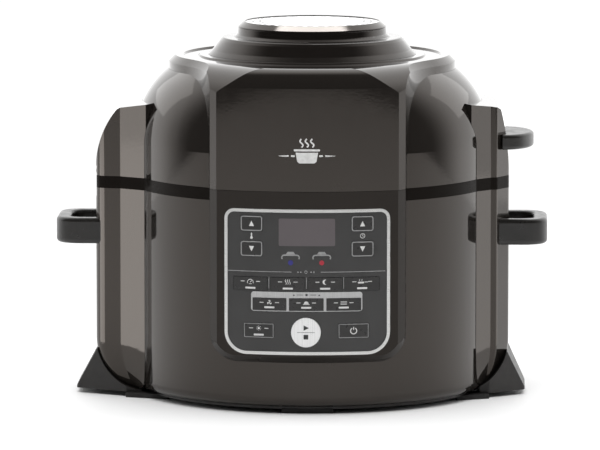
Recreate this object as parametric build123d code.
from build123d import *
import math
import os

# Electric pressure cooker with a hinged air-crisping lid. Millimetres, +Z up. All sizes are taken
# from the cooking pot's axis (X right, Y back, Z up from the floor), and place() moves each
# finished piece so that the origin is the centre of the whole object's footprint.

# Overall extents
LEFT_X = -222.0
RIGHT_X = 205.0
REAR_Y = 200.0
NOSE_Y = -160.7

# Body and lid, turned about the pot's axis
BODY_R = 155.0
WALL = 3.0
SKIN_GAP = 0.1
TRAY_Z = 5.4
COLLAR_Z = 181.0
SEAM_Z = 191.6
SEAM_GAP = 0.3
BOTTOM_ROUND = 9.0
SHOULDER_Z = 221.0
SHOULDER_R = 80.0
DOME_TOP_R = 125.0
DOME_TOP_Z = 283.0
DOME_MOUTH_R = 92.0

# Nose and cap
NOSE_HALF = 81.8
NOSE_FLARE = 1.8
NOSE_FACE_R = 200.0
NOSE_AXIS_Y = NOSE_Y + NOSE_FACE_R
NOSE_BEVEL = 6.0
NOSE_LOW_Z = 44.5
NOSE_CORNER_R = 24.0
CAP_R = 125.0
CAP_BLEND_R = 200.0
CAP_Z = 295.0
CAP_ROLL_R = 16.0
CAP_SHOULDER_R = 36.0
CAP_SHOULDER_REACH = 161.0
CAP_MOUTH_R = 84.0
CAP_BEVEL = 5.5
DISH_IN_R = 97.0
DISH_OUT_R = 113.0
DISH_DEPTH = 1.2

# Side columns: outer face, start of the lid half's curve and its radius, top, bottom corner
COLUMNS = {
    "left": {"sign": -1, "outer": 187.0,
             "front": [(187.0, 39.5, 12.0), (165.0, 44.0, 3.0), (142.0, 60.0, 0.0)],
             "curve_z": 196.0, "curve_r": 86.0, "shoulder_x": 168.3, "top_z": 251.3},
    "right": {"sign": 1, "outer": 171.6,
              "front": [(171.6, 24.0, 9.0), (161.0, 43.0, 4.0), (156.0, 44.5, 2.0), (139.0, 64.0, 0.0)],
              "curve_z": 190.0, "curve_r": 258.0, "shoulder_x": 164.6, "top_z": 252.3},
}
COLUMN_ROOT_X = 100.0
COLUMN_TOP_STEP = 3.0
COLUMN_TOP_RISE = 0.18
COLUMN_JOIN_X = 141.0
COLUMN_TUCK_Z = 50.0
COLUMN_TUCK_STEPS = (0.97, 0.88, 0.72, 0.5, 0.24, 0.0)

# Lid hinge on the left column: the axis runs along Y
HINGE_X = -183.0
HINGE_Z = 195.6
HINGE_PIN_R = 2.0
HINGE_BARREL_R = 3.7
HINGE_HALF = 34.0
HINGE_ARM_HALF = 20.0
HINGE_BORE_GAP = 0.05

# Control panel, in X and Z on the nose's face
PANEL_HALF = 70.5
PANEL_LOW_Z = 52.0
PANEL_HIGH_Z = 176.5
PANEL_TOP_R = 8.6
PANEL_LOW_R = 19.0
BEZEL_W = 2.7
BEZEL_PROUD = 0.5
KEY_GAP = 0.25
KEY_PROUD = 0.6
KEY_DEPTH = 3.4
KEY_STEM_R = 1.8
BOARD_Y = -142.0
BOARD_T = 1.6
KEY_END_GAP = 0.9
DISPLAY = (0.0, 157.0, 48.0, 23.6)

# Keys: name, centre X, centre Z, width, height, corner radius
KEYS = [
    ("temp_up_key", -47.2, 164.1, 18.7, 13.0, 2.2),
    ("temp_down_key", -47.2, 142.5, 18.7, 13.0, 2.2),
    ("time_up_key", 47.2, 164.1, 18.7, 13.0, 2.2),
    ("time_down_key", 47.2, 142.5, 18.7, 13.0, 2.2),
    ("pressure_key", -48.2, 112.6, 29.0, 11.4, 1.0),
    ("steam_key", -16.2, 112.6, 29.0, 11.4, 1.0),
    ("slow_cook_key", 15.6, 112.6, 29.0, 11.4, 1.0),
    ("sear_key", 46.9, 112.6, 29.0, 11.4, 1.0),
    ("air_crisp_key", -31.9, 95.3, 28.6, 10.4, 1.0),
    ("roast_key", -0.5, 95.3, 29.2, 10.4, 1.0),
    ("grill_key", 31.3, 95.3, 29.2, 10.4, 1.0),
    ("keep_warm_key", -41.0, 72.6, 25.6, 12.4, 2.2),
    ("power_key", 39.7, 72.6, 26.0, 12.4, 2.2),
]
START_KEY = ("start_key", -0.8, 71.4, 12.6)

# Fan housing, grille and drive on the lid, turned about the pot's axis: (radius, z, corner radius)
HOUSING_OUTLINE = [
    (90.5, 295.1, 0.0), (86.5, 299.0, 5.0), (80.0, 307.5, 4.0), (77.6, 310.0, 1.5), (68.0, 310.0, 2.0),
    (65.0, 312.5, 1.5), (64.4, 318.6, 0.8), (60.3, 318.6, 0.0), (60.3, 315.6, 0.0), (61.6, 315.6, 0.0),
    (62.2, 309.0, 1.0), (66.5, 306.5, 2.0), (75.5, 306.5, 2.0), (83.0, 297.0, 3.0), (85.0, 295.1, 0.0),
]
GRILLE_R = 58.3
GRILLE_Z = 320.6
GRILLE_T = 2.0
GRILLE_RISE = 1.6
SHAFT_R = 3.0
WELL_R = 112.0
WELL_TOP_Z = 262.0

# Pot, liner and heater
POT_R = 118.0
POT_WALL = 1.5
POT_Z = 50.3
POT_RIM_Z = 185.6
LINER_R = 124.0
LINER_T = 1.2
LINER_FLANGE_Z = 182.8
LINER_FLOOR_Z = 34.0
HEATER_R = 95.0
SENSOR_GAP = 0.3

# Handles and lid grip
HANDLE_LOW_Z = 132.0
HANDLE_HIGH_Z = 154.5
HANDLE_HALF = 39.0
HANDLE_BAR = 12.0
HANDLE_CORNER = 20.0
HANDLE_EDGE = 3.5
GRIP_ROOT_X = 166.0
GRIP_LOW_Z = 215.0
GRIP_HIGH_Z = 228.0
GRIP_OUT_X = 193.0
GRIP_HALF = 40.0

# Legs and feet
LEG_TOP_Z = 43.0
LEG_LOW_Z = 4.2
LEG_TIP_H = 2.0
LEG_TIPS = {"left": 204.6, "right": 186.0}
LEG_TOPS = {"left": 184.7, "right": 168.6}
LEG_ROOT_Y = 50.0
LEG_TIP_Y = 26.0
PAD_H = 4.1
PADS = {"left": (122.0, 160.5), "right": (126.0, 155.0)}
PAD_OUTER_Y = 55.0
PAD_INNER_Y = 68.0
PAD_DEPTH = 22.0
FRONT_FOOT = (-22.0, 22.0, -147.0, -128.0)

# Rear housing, its drip cup and the cord's gland
REAR_HALF = 66.0
REAR_LOW_Z = 22.0
REAR_HIGH_Z = 172.0
REAR_BEVEL = 6.0
CUP_HALF = 40.0
CUP_LOW_Z = 118.0
CUP_HIGH_Z = 150.0
CUP_DEPTH = 36.0
CUP_GAP = 0.5
CUP_WALL = 2.0
CUP_SHELF = 3.5
GLAND_X = -30.0
GLAND_Z = 42.0
GLAND_BORE_R = 3.75
GLAND_R = 8.0

SCREW_R = 1.5
FAR = 400.0

OFFSET = (-(LEFT_X + RIGHT_X) / 2, -(NOSE_Y + REAR_Y) / 2, 0)


# Shape helpers

def outline(corners):
    """A closed face from (u, v, radius) corners, each rounded by a tangent arc."""
    edges = []
    entries = []
    exits = []
    for index, (u, v, radius) in enumerate(corners):
        here = Vector(u, v)
        back = (Vector(*corners[index - 1][:2]) - here).normalized()
        ahead = (Vector(*corners[(index + 1) % len(corners)][:2]) - here).normalized()
        half = math.radians(back.get_angle(ahead)) / 2
        entries.append(here + back * (radius / math.tan(half)))
        exits.append(here + ahead * (radius / math.tan(half)))
        if radius > 0:
            middle = here + (back + ahead).normalized() * (radius / math.sin(half) - radius)
            edges.append(Edge.make_three_point_arc(entries[-1], middle, exits[-1]))
    for index, start in enumerate(exits):
        end = entries[(index + 1) % len(corners)]
        if (end - start).length > 1e-6:
            edges.append(Edge.make_line(start, end))
    return Face(Wire(edges))


def rounded_rectangle(u, v, width, height, radius):
    """A face centred on (u, v)."""
    return outline([(u + a * width / 2, v + b * height / 2, radius)
                    for a, b in ((-1, -1), (1, -1), (1, 1), (-1, 1))])


def upright(face, low, high):
    """A plan face raised from z = low to z = high."""
    return Pos(0, 0, low) * extrude(face, high - low, dir=(0, 0, 1))


def across(face, front, rear):
    """A face drawn in X and Z, taken from Y = front to Y = rear."""
    return Pos(0, rear, 0) * extrude(Plane.XZ * face, rear - front, dir=(0, -1, 0))


def turned(face):
    """A face drawn in radius and Z, turned about the pot's axis."""
    return revolve(Plane.XZ * face, Axis.Z)


def post(radius, low, high, x=0.0, y=0.0):
    return Pos(x, y, (low + high) / 2) * Cylinder(radius, high - low)


def ring(outer, inner, low, high):
    return post(outer, low, high) - post(inner, low - 1, high + 1)


def block(x0, x1, y0, y1, z0, z1):
    return Pos((x0 + x1) / 2, (y0 + y1) / 2, (z0 + z1) / 2) * Box(x1 - x0, y1 - y0, z1 - z0)


def place(shape, name):
    """Write one piece, moved to the object's own origin."""
    export_step(Pos(*OFFSET) * shape, os.path.join("parts", name + ".step"))


def nose_shell(outer, inner):
    """The space between two upright cylinders about the nose face's own axis."""
    tall = Pos(0, NOSE_AXIS_Y, FAR / 2)
    return tall * Cylinder(outer, FAR) - tall * Cylinder(inner, FAR * 1.1)


def on_panel(face, inner, outer):
    """A face drawn in X and Z, cut from the nose's face between two radii."""
    return across(face, NOSE_Y - 10, NOSE_Y + 45) & nose_shell(outer, inner)


# Outer forms that several pieces share

def body_form(gap=0.0):
    radius = BODY_R + gap
    return turned(outline([(0, TRAY_Z, 0), (radius, TRAY_Z, BOTTOM_ROUND),
                           (radius, SEAM_Z, 0), (0, SEAM_Z, 0)]))


def dome_face(inset=0.0):
    """Half section of the lid's dome: an upright wall, an arc over the shoulder and a flat top."""
    centre_r = BODY_R - SHOULDER_R
    radius = SHOULDER_R - inset
    top_angle = math.asin((DOME_TOP_Z - SHOULDER_Z) / SHOULDER_R)
    top = (centre_r + radius * math.cos(top_angle), SHOULDER_Z + radius * math.sin(top_angle))
    middle = (centre_r + radius * math.cos(top_angle / 2), SHOULDER_Z + radius * math.sin(top_angle / 2))
    wall = BODY_R - inset
    low = SEAM_Z - (1 if inset else 0)
    return Face(Wire([
        Edge.make_line((0, low), (wall, low)),
        Edge.make_line((wall, low), (wall, SHOULDER_Z)),
        Edge.make_three_point_arc((wall, SHOULDER_Z), middle, top),
        Edge.make_line(top, (0, top[1])),
        Edge.make_line((0, top[1]), (0, low)),
    ]))


def dome_form():
    return turned(dome_face())


def nose_front(inset=0.0):
    """The nose's outline seen from the front."""
    half = NOSE_HALF + NOSE_FLARE - inset
    low = NOSE_LOW_Z + inset
    corner = NOSE_CORNER_R - inset
    top = SEAM_Z - SEAM_GAP + (1 if inset else 0)
    return outline([(-half, low, corner), (half, low, corner), (half, top, 0), (-half, top, 0)])


def nose_form(inset=0.0):
    """The nose's base half: the cap's plan, carried down and rounded at its two lower corners."""
    front = Pos(0, -FAR / 2 - 80) * Rectangle(FAR, FAR)
    plan = (front & cap_plan(inset)).face()
    form = upright(plan, 0, SEAM_Z + 1) & across(nose_front(inset), NOSE_Y - 10, 0)
    rim = [edge for edge in form.faces().sort_by(Axis.Y)[0].edges() if edge.center().Z < COLLAR_Z]
    return form if inset else chamfer(rim, NOSE_BEVEL)


def cap_plan(inset=0.0):
    """The cap seen from above: a disc, and a tongue that meets it in two hollow curves."""
    disc_r = CAP_R - inset
    blend = CAP_BLEND_R + inset
    blend_x = NOSE_HALF - inset + blend
    blend_y = -math.sqrt((disc_r + blend) ** 2 - blend_x ** 2)
    touch = Vector(blend_x, blend_y) * (disc_r / (disc_r + blend))
    touch_angle = math.atan2(touch.Y - blend_y, touch.X - blend_x) % (2 * math.pi)
    middle_angle = (touch_angle + math.pi) / 2
    middle = (blend_x + blend * math.cos(middle_angle), blend_y + blend * math.sin(middle_angle))
    tongue = blend_x - blend
    edges = [
        Edge.make_line((-tongue, blend_y), (tongue, blend_y)),
        Edge.make_three_point_arc((touch.X, touch.Y), (0, disc_r), (-touch.X, touch.Y)),
    ]
    for side in (-1, 1):
        edges.append(Edge.make_three_point_arc(
            (side * tongue, blend_y), (side * middle[0], middle[1]), (side * touch.X, touch.Y)))
    plan = Face(Wire(edges)) & Pos(0, NOSE_AXIS_Y) * Circle(NOSE_FACE_R - inset)
    return plan.face()


def cap_roll(inset=0.0):
    """The nose face and the curve that rolls it back into the cap's flat top."""
    radius = NOSE_FACE_R - inset
    top = CAP_Z - inset
    face = outline([(0, 0, 0), (radius, 0, 0), (radius, top, CAP_ROLL_R - inset), (0, top, 0)])
    return Pos(0, NOSE_AXIS_Y, 0) * turned(face)


def cap_shoulder(sign):
    """A roll that runs diagonally over one front corner of the cap."""
    reach = CAP_SHOULDER_REACH
    face = outline([(-FAR, 0, 0), (reach, 0, 0), (reach, CAP_Z, CAP_SHOULDER_R), (-FAR, CAP_Z, 0)])
    return Rot(0, 0, -90 + 45 * sign) * across(face, -FAR, FAR)


def column_plan(side, inset=0.0, squeeze=1.0):
    """Plan of a column. A squeeze under 1 draws its outer faces in towards the body."""
    column = COLUMNS[side]
    sign = column["sign"]
    front = [(sign * (COLUMN_JOIN_X + (x - COLUMN_JOIN_X) * squeeze), -y, r * squeeze)
             for x, y, r in column["front"]]
    rear = [(x, -y, r) for x, y, r in reversed(front)]
    root = sign * COLUMN_ROOT_X
    root_y = front[-1][1] * 0.7
    face = outline(front + [(root, root_y, 0), (root, -root_y, 0)] + rear)
    return offset(face, -inset, kind=Kind.INTERSECTION) if inset else face


def column_tuck(side):
    """The foot of a column, which draws in along a quarter oval to the body's bottom edge."""
    depth = COLUMN_TUCK_Z - TRAY_Z
    sections = [Pos(0, 0, COLUMN_TUCK_Z) * column_plan(side)]
    for step in COLUMN_TUCK_STEPS:
        squeeze = 0.12 + 0.88 * math.sqrt(1 - (1 - step) ** 2)
        sections.append(Pos(0, 0, TRAY_Z + depth * step) * column_plan(side, squeeze=squeeze))
    return loft(sections)


def column_lid_front(side, inset=0.0):
    """The lid half of a column seen from the front: it leans in along an arc to a rounded top."""
    column = COLUMNS[side]
    sign = column["sign"]
    outer = column["outer"] - inset
    radius = column["curve_r"] - inset
    low = min(SEAM_Z + inset, column["curve_z"] - 0.5)
    top = column["top_z"] - inset
    centre_x = outer - radius
    lip_r = HINGE_X + COLUMNS["left"]["outer"] if side == "left" and not inset else 0.0
    end_angle = math.acos((column["shoulder_x"] - inset - centre_x) / radius)
    end, middle = [(centre_x + radius * math.cos(angle), column["curve_z"] + radius * math.sin(angle))
                   for angle in (end_angle, end_angle / 2)]
    root_top = top + (end[0] - COLUMN_TOP_STEP - COLUMN_ROOT_X) * COLUMN_TOP_RISE
    points = [(COLUMN_ROOT_X, root_top), (COLUMN_ROOT_X, low), (outer - lip_r, low)]
    edges = [Edge.make_line(a, b) for a, b in zip(points, points[1:])]
    if lip_r:
        turn = lip_r * math.cos(math.radians(45))
        edges.append(Edge.make_three_point_arc(
            points[-1], (outer - lip_r + turn, low + lip_r - turn), (outer, low + lip_r)))
    edges.append(Edge.make_line((outer, low + lip_r), (outer, column["curve_z"])))
    edges.append(Edge.make_three_point_arc((outer, column["curve_z"]), middle, end))
    crest = (end[0] - COLUMN_TOP_STEP, top)
    edges.append(Edge.make_line(end, crest))
    edges.append(Edge.make_line(crest, points[0]))
    face = Face(Wire(edges))
    return face if sign > 0 else Face(mirror(face, Plane.YZ).wires()[0])


# Base pieces

def base_shell():
    shell = body_form() & post(FAR, TRAY_Z, COLLAR_Z)
    hollow = turned(outline([(0, 0, 0), (BODY_R - WALL - 5, 0, 0), (BODY_R - WALL, TRAY_Z + BOTTOM_ROUND, 0),
                             (BODY_R - WALL, SEAM_Z, 0), (0, SEAM_Z, 0)]))
    window = block(-REAR_HALF + 2 * WALL, REAR_HALF - 2 * WALL, 100, 180, REAR_LOW_Z + 9, REAR_HIGH_Z - 9)
    front = across(offset(nose_front(), SKIN_GAP, kind=Kind.INTERSECTION), NOSE_Y - 10, -COLUMN_ROOT_X)
    return shell - hollow - window - front


def base_collar():
    """The dark band below the seam, which runs round the body and both columns."""
    low = COLLAR_Z + SKIN_GAP
    high = SEAM_Z - SEAM_GAP
    band = post(BODY_R, low, high)
    for side in COLUMNS:
        band += upright(column_plan(side), low, high)
    hollow = post(BODY_R - 5, low - 1, high + 1)
    half = NOSE_HALF + NOSE_FLARE + SKIN_GAP
    front = block(-half, half, -FAR, -60, low - 1, high + 1)
    slot = block(LEFT_X, HINGE_X + HINGE_BARREL_R + 0.4, -HINGE_HALF, HINGE_HALF, low - 1, high + 1)
    return band - hollow - front - slot


def base_tray():
    low = PAD_H - 0.6
    plate = post(BODY_R - WALL - 6, low, TRAY_Z + 2.5)
    for side in COLUMNS:
        for pad in pad_blocks(side, SKIN_GAP):
            plate -= pad
    for x, y in screw_places():
        plate -= post(SCREW_R + 0.2, 0, 20, x, y)
    return plate


def screw_places():
    spread = 88.0
    return [(a * spread, b * spread) for a in (-1, 1) for b in (-1, 1)]


def base_screws():
    screws = []
    for x, y in screw_places():
        screws.append(post(SCREW_R, PAD_H - 1, TRAY_Z + 9, x, y) + post(3.2, PAD_H - 2.2, PAD_H - 0.6, x, y))
    return Compound(children=screws)


def column_body(side, inset=0.0):
    straight = upright(column_plan(side, inset), COLUMN_TUCK_Z, COLLAR_Z - inset)
    return straight if inset else straight + column_tuck(side)


def column_base(side):
    piece = column_body(side) - column_body(side, WALL) - post(BODY_R + SKIN_GAP, 0, SEAM_Z)
    if side == "left":
        piece -= block(LEFT_X, HINGE_X + HINGE_BARREL_R + 0.4, -HINGE_HALF, HINGE_HALF, COLLAR_Z - 8, SEAM_Z)
    return piece


def front_housing():
    full = nose_form()
    piece = full - nose_form(WALL)
    window = rounded_panel(0.0)
    piece -= on_panel(window, NOSE_FACE_R - 20, NOSE_FACE_R + 5)
    inside = post(BODY_R - 5.2, 0, FAR)
    return piece - inside


def rounded_panel(inset):
    half = PANEL_HALF - inset
    low = PANEL_LOW_Z + inset
    high = PANEL_HIGH_Z - inset
    return outline([(-half, low, PANEL_LOW_R - inset), (half, low, PANEL_LOW_R - inset),
                    (half, high, PANEL_TOP_R - inset), (-half, high, PANEL_TOP_R - inset)])


def panel_bezel():
    outer = on_panel(rounded_panel(SKIN_GAP / 2), NOSE_FACE_R - WALL, NOSE_FACE_R + BEZEL_PROUD)
    return outer - on_panel(rounded_panel(BEZEL_W), 0, FAR)


def key_outline(key, grow=0.0):
    name, x, z, width, height, radius = key
    return rounded_rectangle(x, z, width + 2 * grow, height + 2 * grow, radius + grow)


def start_outline(grow=0.0):
    name, x, z, radius = START_KEY
    return Pos(x, z) * Circle(radius + grow)


def panel_face():
    face = on_panel(rounded_panel(BEZEL_W + SKIN_GAP / 2), NOSE_FACE_R - WALL, NOSE_FACE_R - 0.2)
    for key in KEYS:
        face -= across(key_outline(key, KEY_GAP), NOSE_Y - 10, NOSE_Y + 45)
    face -= across(start_outline(KEY_GAP), NOSE_Y - 10, NOSE_Y + 45)
    return face - across(rounded_rectangle(*DISPLAY, 1.2), NOSE_Y - 10, NOSE_Y + 45)


def display_lens():
    x, z, width, height = DISPLAY
    window = rounded_rectangle(x, z, width - 0.1, height - 0.1, 1.15)
    return on_panel(window, NOSE_FACE_R - WALL, NOSE_FACE_R - 0.1)


def panel_key(face, x, z):
    """A key cap that follows the panel's curve, on a stem that reaches its switch."""
    cap = on_panel(face, NOSE_FACE_R - KEY_DEPTH, NOSE_FACE_R + KEY_PROUD)
    front_y = NOSE_AXIS_Y - math.sqrt((NOSE_FACE_R - KEY_DEPTH + 1) ** 2 - x ** 2)
    stem_length = BOARD_Y - KEY_END_GAP - front_y
    stem = Pos(x, front_y + stem_length / 2, z) * Rot(90, 0, 0) * Cylinder(KEY_STEM_R, stem_length)
    return cap + stem


def panel_board():
    """The control circuit board behind the panel."""
    half = PANEL_HALF - 8
    face = rounded_rectangle(0, (PANEL_LOW_Z + PANEL_HIGH_Z) / 2, 2 * half, 110, 3)
    return across(face, BOARD_Y, BOARD_Y + BOARD_T)


def handle(side):
    sign = COLUMNS[side]["sign"]
    outer = abs(LEFT_X if side == "left" else RIGHT_X)
    root = COLUMNS[side]["outer"] - 14
    loop = outline([(sign * root, -HANDLE_HALF, 0), (sign * outer, -HANDLE_HALF, HANDLE_CORNER),
                    (sign * outer, HANDLE_HALF, HANDLE_CORNER), (sign * root, HANDLE_HALF, 0)])
    hole_x = outer - HANDLE_BAR
    hole_y = HANDLE_HALF - HANDLE_BAR
    hole_r = HANDLE_CORNER - HANDLE_BAR + 3
    hole = outline([(sign * (root - 5), -hole_y, 0), (sign * hole_x, -hole_y, hole_r),
                    (sign * hole_x, hole_y, hole_r), (sign * (root - 5), hole_y, 0)])
    bar = upright(loop, HANDLE_LOW_Z, HANDLE_HIGH_Z) - upright(hole, 0, FAR)
    rims = bar.edges().filter_by(GeomType.LINE, reverse=True) + bar.edges().filter_by(Axis.Y)
    bar = fillet(rims, HANDLE_EDGE)
    return bar - upright(column_plan(side), 0, COLLAR_Z)


def leg(side):
    """A flared side leg: straight outer edges that taper to a narrow tip."""
    sign = COLUMNS[side]["sign"]
    tip_x = LEG_TIPS[side]
    near, far = PADS[side]
    front = outline([(sign * near, LEG_LOW_Z, 0), (sign * tip_x, LEG_LOW_Z, 0),
                     (sign * tip_x, LEG_LOW_Z + LEG_TIP_H, 0),
                     (sign * LEG_TOPS[side], LEG_TOP_Z, 0), (sign * near, LEG_TOP_Z, 0)])
    plan = outline([(sign * near, -LEG_ROOT_Y, 0), (sign * far, -LEG_ROOT_Y, 3),
                    (sign * tip_x, -LEG_TIP_Y, 5), (sign * tip_x, LEG_TIP_Y, 5),
                    (sign * far, LEG_ROOT_Y, 3), (sign * near, LEG_ROOT_Y, 0)])
    wedge = across(front, -FAR / 2, FAR / 2) & upright(plan, 0, FAR)
    outer = COLUMNS[side]["outer"]
    inner_curve = outline([(sign * near, TRAY_Z, 0), (sign * outer, TRAY_Z, COLUMN_TUCK_Z - TRAY_Z),
                           (sign * outer, FAR, 0), (sign * near, FAR, 0)])
    piece = wedge - across(inner_curve, -FAR / 2, FAR / 2) - column_body(side)
    piece -= post(BODY_R + SKIN_GAP, 0, SEAM_Z)
    return max(piece.solids(), key=lambda solid: solid.volume)


def pad_blocks(side, grow=0.0):
    """The front and rear pad of one side, whose edges run with the body's curve."""
    sign = COLUMNS[side]["sign"]
    near = PADS[side][0] - grow
    far = PADS[side][1]
    pads = []
    for end in (-1, 1):
        plan = outline([(sign * far, end * (PAD_OUTER_Y + grow), 1.5),
                        (sign * near, end * (PAD_INNER_Y + grow), 1.5),
                        (sign * near, end * (PAD_INNER_Y - PAD_DEPTH - grow), 1.5),
                        (sign * far, end * (PAD_OUTER_Y - PAD_DEPTH - grow), 1.5)])
        pads.append(upright(plan, 0, PAD_H + grow))
    return pads


def foot_pads():
    x0, x1, y0, y1 = FRONT_FOOT
    pads = [block(x0, x1, y0, y1, 0, PAD_H - 0.6), block(x0, x1, -y1, -y0, 0, PAD_H - 0.6)]
    for side in COLUMNS:
        pads += pad_blocks(side)
    return Compound(children=pads)


def rear_plan(inset=0.0):
    half = REAR_HALF - inset
    rear = REAR_Y - inset
    return outline([(-half, 90, 0), (half, 90, 0), (half, rear, 22 - inset), (-half, rear, 22 - inset)])


def rear_form(inset):
    full = upright(rear_plan(inset), REAR_LOW_Z + inset, REAR_HIGH_Z - inset)
    return full.chamfer(REAR_BEVEL, None, full.edges().filter_by(Axis.X).group_by(Axis.Y)[-1])


def rear_cover():
    """The rear housing's skin, with the drip cup's opening and the shelf below it."""
    piece = rear_form(0.0) - rear_form(WALL)
    low = CUP_LOW_Z - CUP_SHELF
    high = CUP_LOW_Z - CUP_GAP
    piece += block(-REAR_HALF + WALL / 2, REAR_HALF - WALL / 2, 150, REAR_Y - WALL * 4, low, high)
    piece += block(-CUP_HALF - 6, CUP_HALF + 6, 150, REAR_Y - WALL / 2, low, high)
    piece -= block(-CUP_HALF - CUP_GAP, CUP_HALF + CUP_GAP, REAR_Y - 10, REAR_Y + 5,
                   CUP_LOW_Z - CUP_GAP, CUP_HIGH_Z + CUP_GAP)
    return piece - post(BODY_R + SKIN_GAP, 0, FAR)


def cup_holder():
    """The rear housing's upper half, which the drip cup slides into."""
    return rear_cover() & post(FAR, CUP_LOW_Z - CUP_SHELF, FAR)


def rear_vent():
    """The rear housing's lower half, with cooling slots and a hole for the gland."""
    piece = rear_cover() & post(FAR, 0, CUP_LOW_Z - CUP_SHELF - SKIN_GAP)
    for row in range(7):
        for x in (-30, 0, 30):
            piece -= Pos(x, REAR_Y, 58 + 7 * row) * Box(24, 20, 3)
    return piece - Pos(GLAND_X, REAR_Y, GLAND_Z) * Rot(90, 0, 0) * Cylinder(GLAND_R + SKIN_GAP, 20)


def cord_gland():
    """The gland for the mains lead, a flanged sleeve with a plain bore."""
    inner_y = REAR_Y - WALL - 6
    at = Pos(GLAND_X, 0, GLAND_Z)
    sleeve = across(Circle(GLAND_R), inner_y, REAR_Y - SKIN_GAP)
    sleeve += across(Circle(GLAND_R + 3), inner_y, inner_y + 5.8)
    return at * (sleeve - across(Circle(GLAND_BORE_R), inner_y - 1, REAR_Y + 1))


def condensation_cup():
    x = CUP_HALF
    front = REAR_Y - 0.5
    outer = block(-x, x, front - CUP_DEPTH, front, CUP_LOW_Z, CUP_HIGH_Z)
    outer = fillet(outer.edges().filter_by(Axis.Z), 5)
    w = CUP_WALL
    inner = block(-x + w, x - w, front - CUP_DEPTH + w, front - w, CUP_LOW_Z + w, CUP_HIGH_Z + 1)
    inner = fillet(inner.edges().filter_by(Axis.Z), 3)
    grip = block(-16, 16, front - 4, front + 1, CUP_HIGH_Z - 9, CUP_HIGH_Z + 1)
    return outer - inner - grip


def cooking_pot():
    wall = POT_WALL
    outer = outline([(0, POT_Z, 0), (POT_R, POT_Z, 14), (POT_R, POT_RIM_Z - wall, 0),
                     (POT_R + 9, POT_RIM_Z - wall, 0), (POT_R + 9, POT_RIM_Z, 0),
                     (POT_R - wall, POT_RIM_Z, 1.4), (POT_R - wall, POT_Z + wall, 12.5),
                     (0, POT_Z + wall, 0)])
    return turned(outer)


def liner():
    """The steel well that the pot hangs in, with a flange at the top and a shelf for the heater."""
    t = LINER_T
    section = outline([(60, LINER_FLOOR_Z, 0), (LINER_R + t, LINER_FLOOR_Z, 4),
                       (LINER_R + t, LINER_FLANGE_Z, 0),
                       (BODY_R - 5.4, LINER_FLANGE_Z, 0), (BODY_R - 5.4, LINER_FLANGE_Z + t, 0),
                       (LINER_R, LINER_FLANGE_Z + t, 1), (LINER_R, LINER_FLOOR_Z + t, 2.8),
                       (60, LINER_FLOOR_Z + t, 0)])
    return turned(section)


def heater_plate():
    floor = LINER_FLOOR_Z + LINER_T
    top = POT_Z - 0.2
    plate = turned(outline([(0, floor + 5, 0), (70, floor + 5, 0), (70, floor, 0), (80, floor, 0),
                            (80, floor + 5, 0),
                            (HEATER_R, floor + 5, 0), (HEATER_R, top, 3), (0, top, 0)]))
    plate += post(12, floor, floor + 6)
    plate -= post(16, top - 6.5, top + 1)
    return plate - post(5.3, 0, top)


def pot_sensor():
    """The sprung temperature sensor that presses on the pot's underside."""
    top = POT_Z - SENSOR_GAP
    low = LINER_FLOOR_Z - 8
    return post(13, top - 3, top) + post(5, low, top - 2) + post(7.5, low, low + 2.5)


def power_board():
    low = 14.0
    board = block(-46, 46, -100, -40, low, low + 1.6)
    board += block(-38, -14, -92, -66, low + 1.6, low + 15)
    board += block(6, 26, -92, -72, low + 1.6, low + 11)
    return board + post(6, low + 1.6, low + 13, 34, -56)


def along_hinge(radius, y0, y1):
    length = y1 - y0
    return Pos(HINGE_X, y0 + length / 2, HINGE_Z) * Rot(90, 0, 0) * Cylinder(radius, length)


def hinge_bracket():
    """Two knuckles on a plate inside the left column."""
    half = HINGE_HALF - 1
    piece = block(HINGE_X - 3.2, HINGE_X + HINGE_BARREL_R, -half, half, COLLAR_Z - 8, COLLAR_Z + 5)
    for y0, y1 in ((-HINGE_HALF + 1, -HINGE_ARM_HALF - 0.5), (HINGE_ARM_HALF + 0.5, HINGE_HALF - 1)):
        piece += along_hinge(HINGE_BARREL_R, y0, y1)
        piece += block(HINGE_X - 3.2, HINGE_X + HINGE_BARREL_R, y0, y1, COLLAR_Z, HINGE_Z)
    return piece - along_hinge(HINGE_PIN_R + 0.02, -HINGE_HALF, HINGE_HALF)


def hinge_pin():
    return along_hinge(HINGE_PIN_R, -HINGE_HALF + 1, HINGE_HALF - 1)


def hinge_arm():
    """The lid's knuckle, on a plate that is fastened inside the lid's left column."""
    piece = along_hinge(HINGE_BARREL_R, -HINGE_ARM_HALF, HINGE_ARM_HALF)
    piece += block(HINGE_X + 0.8, HINGE_X + HINGE_BARREL_R, -HINGE_ARM_HALF, HINGE_ARM_HALF,
                   HINGE_Z, HINGE_Z + 16)
    return piece - along_hinge(HINGE_PIN_R + HINGE_BORE_GAP, -HINGE_HALF, HINGE_HALF)


# Lid pieces

def lid_dome():
    hollow = turned(dome_face(WALL))
    return dome_form() - hollow - post(DOME_MOUTH_R, SHOULDER_Z, FAR)


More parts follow.
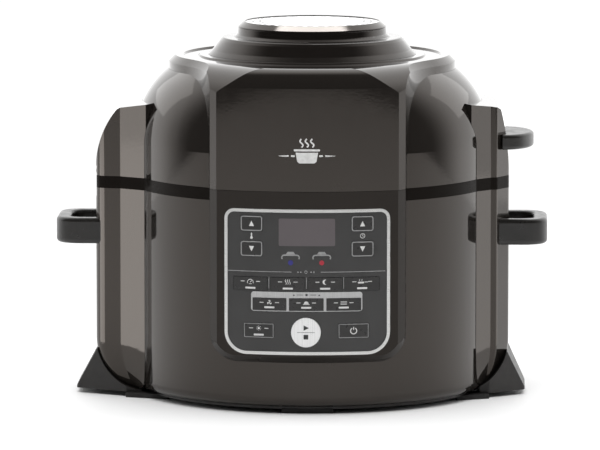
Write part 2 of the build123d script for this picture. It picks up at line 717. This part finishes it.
def lid_front():
    """The cap: a disc on top of the dome and a tongue that comes down the front as the nose."""
    full = upright(cap_plan(), SEAM_Z, CAP_Z) & cap_roll()
    rim = [edge for edge in full.edges() if is_outer_rim(edge)]
    full = chamfer(rim, CAP_BEVEL) & cap_shoulder(-1) & cap_shoulder(1)
    hollow = upright(cap_plan(WALL + CAP_BEVEL / 2), SEAM_Z + WALL, CAP_Z - WALL) & cap_roll(WALL)
    hollow &= Pos(0, 0, -WALL) * cap_shoulder(-1) & Pos(0, 0, -WALL) * cap_shoulder(1)
    piece = full - hollow - dome_form() - post(CAP_MOUTH_R, SHOULDER_Z, FAR)
    low = CAP_Z - DISH_DEPTH
    dish = turned(outline([(DISH_IN_R + 2, low, 0), (DISH_OUT_R - 2, low, 0),
                           (DISH_OUT_R, CAP_Z + 1, 0), (DISH_IN_R, CAP_Z + 1, 0)]))
    return piece - dish


def is_outer_rim(edge):
    """Whether an edge bounds the cap's front face, its roll or its top."""
    middle = edge.center()
    ends = edge.vertices()
    level = all(abs(v.Z - CAP_Z) < 0.01 for v in ends)
    front = all(abs(math.hypot(v.X, v.Y - NOSE_AXIS_Y) - NOSE_FACE_R) < 0.01 for v in ends)
    wide = abs(ends[0].X - ends[-1].X) > NOSE_HALF
    across_roll = wide and abs(ends[0].Y - ends[-1].Y) < 0.1 and middle.Y < -NOSE_HALF
    return middle.Z > SEAM_Z + 0.1 and not across_roll and (level or front or middle.Z > CAP_Z - CAP_ROLL_R)


def column_lid(side):
    full = upright(column_plan(side), SEAM_Z, FAR) & across(column_lid_front(side), -FAR / 2, FAR / 2)
    hollow = upright(column_plan(side, WALL), SEAM_Z + WALL, FAR)
    hollow &= across(column_lid_front(side, WALL), -FAR / 2, FAR / 2)
    piece = full - hollow - turned(dome_face(-SKIN_GAP)) - post(BODY_R + SKIN_GAP, SEAM_Z - 1, SHOULDER_Z)
    if side == "left":
        top = HINGE_Z + HINGE_BARREL_R + 0.4
        piece -= block(LEFT_X, HINGE_X + HINGE_BARREL_R + 0.4, -HINGE_HALF, HINGE_HALF, SEAM_Z - 1, top)
    return piece


def lid_grip():
    """The tab on the lid's right side that a hand lifts: half an oval, with a lip below."""
    out = GRIP_OUT_X - GRIP_ROOT_X
    plan = Pos(GRIP_ROOT_X, 0) * Ellipse(out, GRIP_HALF) & Pos(GRIP_ROOT_X + FAR / 2, 0) * Rectangle(FAR, FAR)
    tab = upright(plan.face(), GRIP_LOW_Z, GRIP_HIGH_Z)
    tab = fillet(tab.edges().filter_by(GeomType.LINE, reverse=True), 3)
    scoop_plan = (Pos(GRIP_ROOT_X - 8, 0) * Ellipse(out, GRIP_HALF - 12)).face()
    scoop = upright(scoop_plan, GRIP_LOW_Z - 1, GRIP_LOW_Z + 5)
    root_half = GRIP_HALF - 18
    root = block(GRIP_ROOT_X - 3, GRIP_ROOT_X + 4, -root_half, root_half, GRIP_LOW_Z - 5, GRIP_HIGH_Z - 2)
    tab = tab - scoop + root
    column = upright(column_plan("right"), SEAM_Z, FAR)
    column &= across(column_lid_front("right"), -FAR / 2, FAR / 2)
    return tab - column


def fan_housing():
    return turned(outline(HOUSING_OUTLINE))


def grille_trim():
    """The dark sloping ring round the grille, which stands on the fan housing's rim."""
    bore = GRILLE_R + SKIN_GAP
    return turned(outline([(bore, 315.7, 0), (60.2, 315.7, 0), (60.2, 318.7, 0), (64.4, 318.7, 0),
                           (64.2, 319.4, 0.3), (59.2, 323.5, 0.6), (bore, 323.5, 0)]))


def top_grille():
    """A shallow dome of bright metal with two rings of slots."""
    sphere_r = (GRILLE_R ** 2 + GRILLE_RISE ** 2) / (2 * GRILLE_RISE)
    centre_z = GRILLE_Z + GRILLE_RISE - sphere_r
    ball = Pos(0, 0, centre_z) * Sphere(sphere_r + GRILLE_T) - Pos(0, 0, centre_z) * Sphere(sphere_r)
    disc = ball & post(GRILLE_R, GRILLE_Z - 3, GRILLE_Z + 20)
    slots = []
    for radius, count, length in ((51.5, 36, 5.6), (45.5, 32, 5.6)):
        for index in range(count):
            turn = Rot(0, 0, 360 * index / count)
            slots.append(turn * Pos(radius, 0, GRILLE_Z) * Box(2.2, length, 30))
    return disc - slots


def lid_reflector():
    """The bright inner skin of the lid: a shelf, then a well that holds the fan and the heater."""
    t = 1.0
    section = outline([(147, 193, 0), (147, 222, 3), (WELL_R, 222, 0), (WELL_R, WELL_TOP_Z, 8),
                       (8, WELL_TOP_Z, 0),
                       (8, WELL_TOP_Z + t, 0), (WELL_R + t, WELL_TOP_Z + t, 9), (WELL_R + t, 222 + t, 0),
                       (147 + t, 222 + t, 4), (147 + t, 193, 0)])
    shell = turned(section)
    for x, y in lid_screw_places():
        shell -= post(SCREW_R + 0.2, 215, 230, x, y)
    return shell


def lid_screw_places():
    angles = [math.radians(30 + 60 * index) for index in range(6)]
    return [(117.5 * math.cos(angle), 117.5 * math.sin(angle)) for angle in angles]


def lid_screws():
    screws = [post(SCREW_R, 219, 228, x, y) + post(3.0, 217.6, 219.4, x, y) for x, y in lid_screw_places()]
    return Compound(children=screws)


def guard_screen():
    """The screen below the heater: four rings joined by eight spokes, fastened to the shelf."""
    low = 219.5
    high = 221.9
    screen = ring(123, 108, low, high)
    for radius in (88, 66, 44, 22):
        screen += ring(radius + 1.6, radius - 1.6, low, high)
    for index in range(8):
        spoke = Rot(0, 0, 45 * index) * Pos(66, 0, (low + high) / 2) * Box(90, 2.4, high - low)
        screen += spoke
    for x, y in lid_screw_places():
        screen -= post(SCREW_R + 0.2, 200, 240, x, y)
    return screen


def heating_coil():
    z = 238.0
    tube_r = 3.2
    coil = Pos(0, 0, z) * Torus(84, tube_r) + Pos(0, 0, z) * Torus(68, tube_r)
    coil += Pos(76, 0, z) * Rot(0, 90, 0) * Cylinder(tube_r - 0.4, 16)
    for y in (-14, 14):
        x = -math.sqrt(84 ** 2 - y ** 2)
        coil += post(tube_r - 0.3, z, WELL_TOP_Z - 0.1, x, y)
    return coil


def motor_bracket():
    low = WELL_TOP_Z + 7
    plate = post(44, low, low + 1.5) - post(8, low - 1, low + 3)
    for angle in (90, 210, 330):
        foot = Pos(38, 0, (WELL_TOP_Z + 1.1 + low) / 2) * Box(10, 12, low - WELL_TOP_Z - 1.1)
        plate += Rot(0, 0, angle) * foot
    return plate


def fan_motor():
    low = WELL_TOP_Z + 8.6
    bore = SHAFT_R + 0.05
    can = turned(outline([(bore, low, 0), (28, low, 2), (28, low + 26, 3), (bore, low + 26, 0)]))
    return can + (ring(34, 27.5, low + 8, low + 18))


def motor_shaft():
    return post(SHAFT_R, 246, 315)


def fan(low, hub_r, blade_r, blade_h, count, sweep):
    """A flat-bladed radial fan on a backing disc, bored for the shaft."""
    wheel = post(hub_r, low, low + blade_h) + post(blade_r, low + blade_h - 1.2, low + blade_h)
    for index in range(count):
        blade = Pos((hub_r + blade_r) / 2 - 1, 0, low + blade_h / 2) * Rot(0, 0, sweep)
        wheel += Rot(0, 0, 360 * index / count) * blade * Box(blade_r - hub_r - 3, 1.4, blade_h)
    return wheel - post(SHAFT_R + 0.02, low - 1, low + blade_h + 1)


PIECES = {
    "base_shell": base_shell,
    "base_collar": base_collar,
    "base_tray": base_tray,
    "base_screws": base_screws,
    "front_housing": front_housing,
    "panel_bezel": panel_bezel,
    "panel_face": panel_face,
    "display_lens": display_lens,
    "panel_board": panel_board,
    "foot_pads": foot_pads,
    "rear_vent": rear_vent,
    "cup_holder": cup_holder,
    "cord_gland": cord_gland,
    "condensation_cup": condensation_cup,
    "cooking_pot": cooking_pot,
    "liner": liner,
    "heater_plate": heater_plate,
    "pot_sensor": pot_sensor,
    "power_board": power_board,
    "hinge_bracket": hinge_bracket,
    "hinge_pin": hinge_pin,
    "hinge_arm": hinge_arm,
    "lid_dome": lid_dome,
    "lid_front": lid_front,
    "lid_grip": lid_grip,
    "fan_housing": fan_housing,
    "grille_trim": grille_trim,
    "top_grille": top_grille,
    "lid_reflector": lid_reflector,
    "lid_screws": lid_screws,
    "guard_screen": guard_screen,
    "heating_coil": heating_coil,
    "motor_bracket": motor_bracket,
    "fan_motor": fan_motor,
    "motor_shaft": motor_shaft,
}

os.makedirs("parts", exist_ok=True)
for piece_name, make in PIECES.items():
    place(make(), piece_name)
for column_side in COLUMNS:
    place(column_base(column_side), column_side + "_column")
    place(column_lid(column_side), "lid_" + column_side)
    place(handle(column_side), column_side + "_handle")
    place(leg(column_side), column_side + "_leg")
for panel_key_data in KEYS:
    place(panel_key(key_outline(panel_key_data), *panel_key_data[1:3]), panel_key_data[0])
place(panel_key(start_outline(), *START_KEY[1:3]), START_KEY[0])
place(fan(248, 9, 60, 11, 8, 18), "convection_fan")
place(fan(303, 10, 52, 10, 12, 12), "cooling_fan")
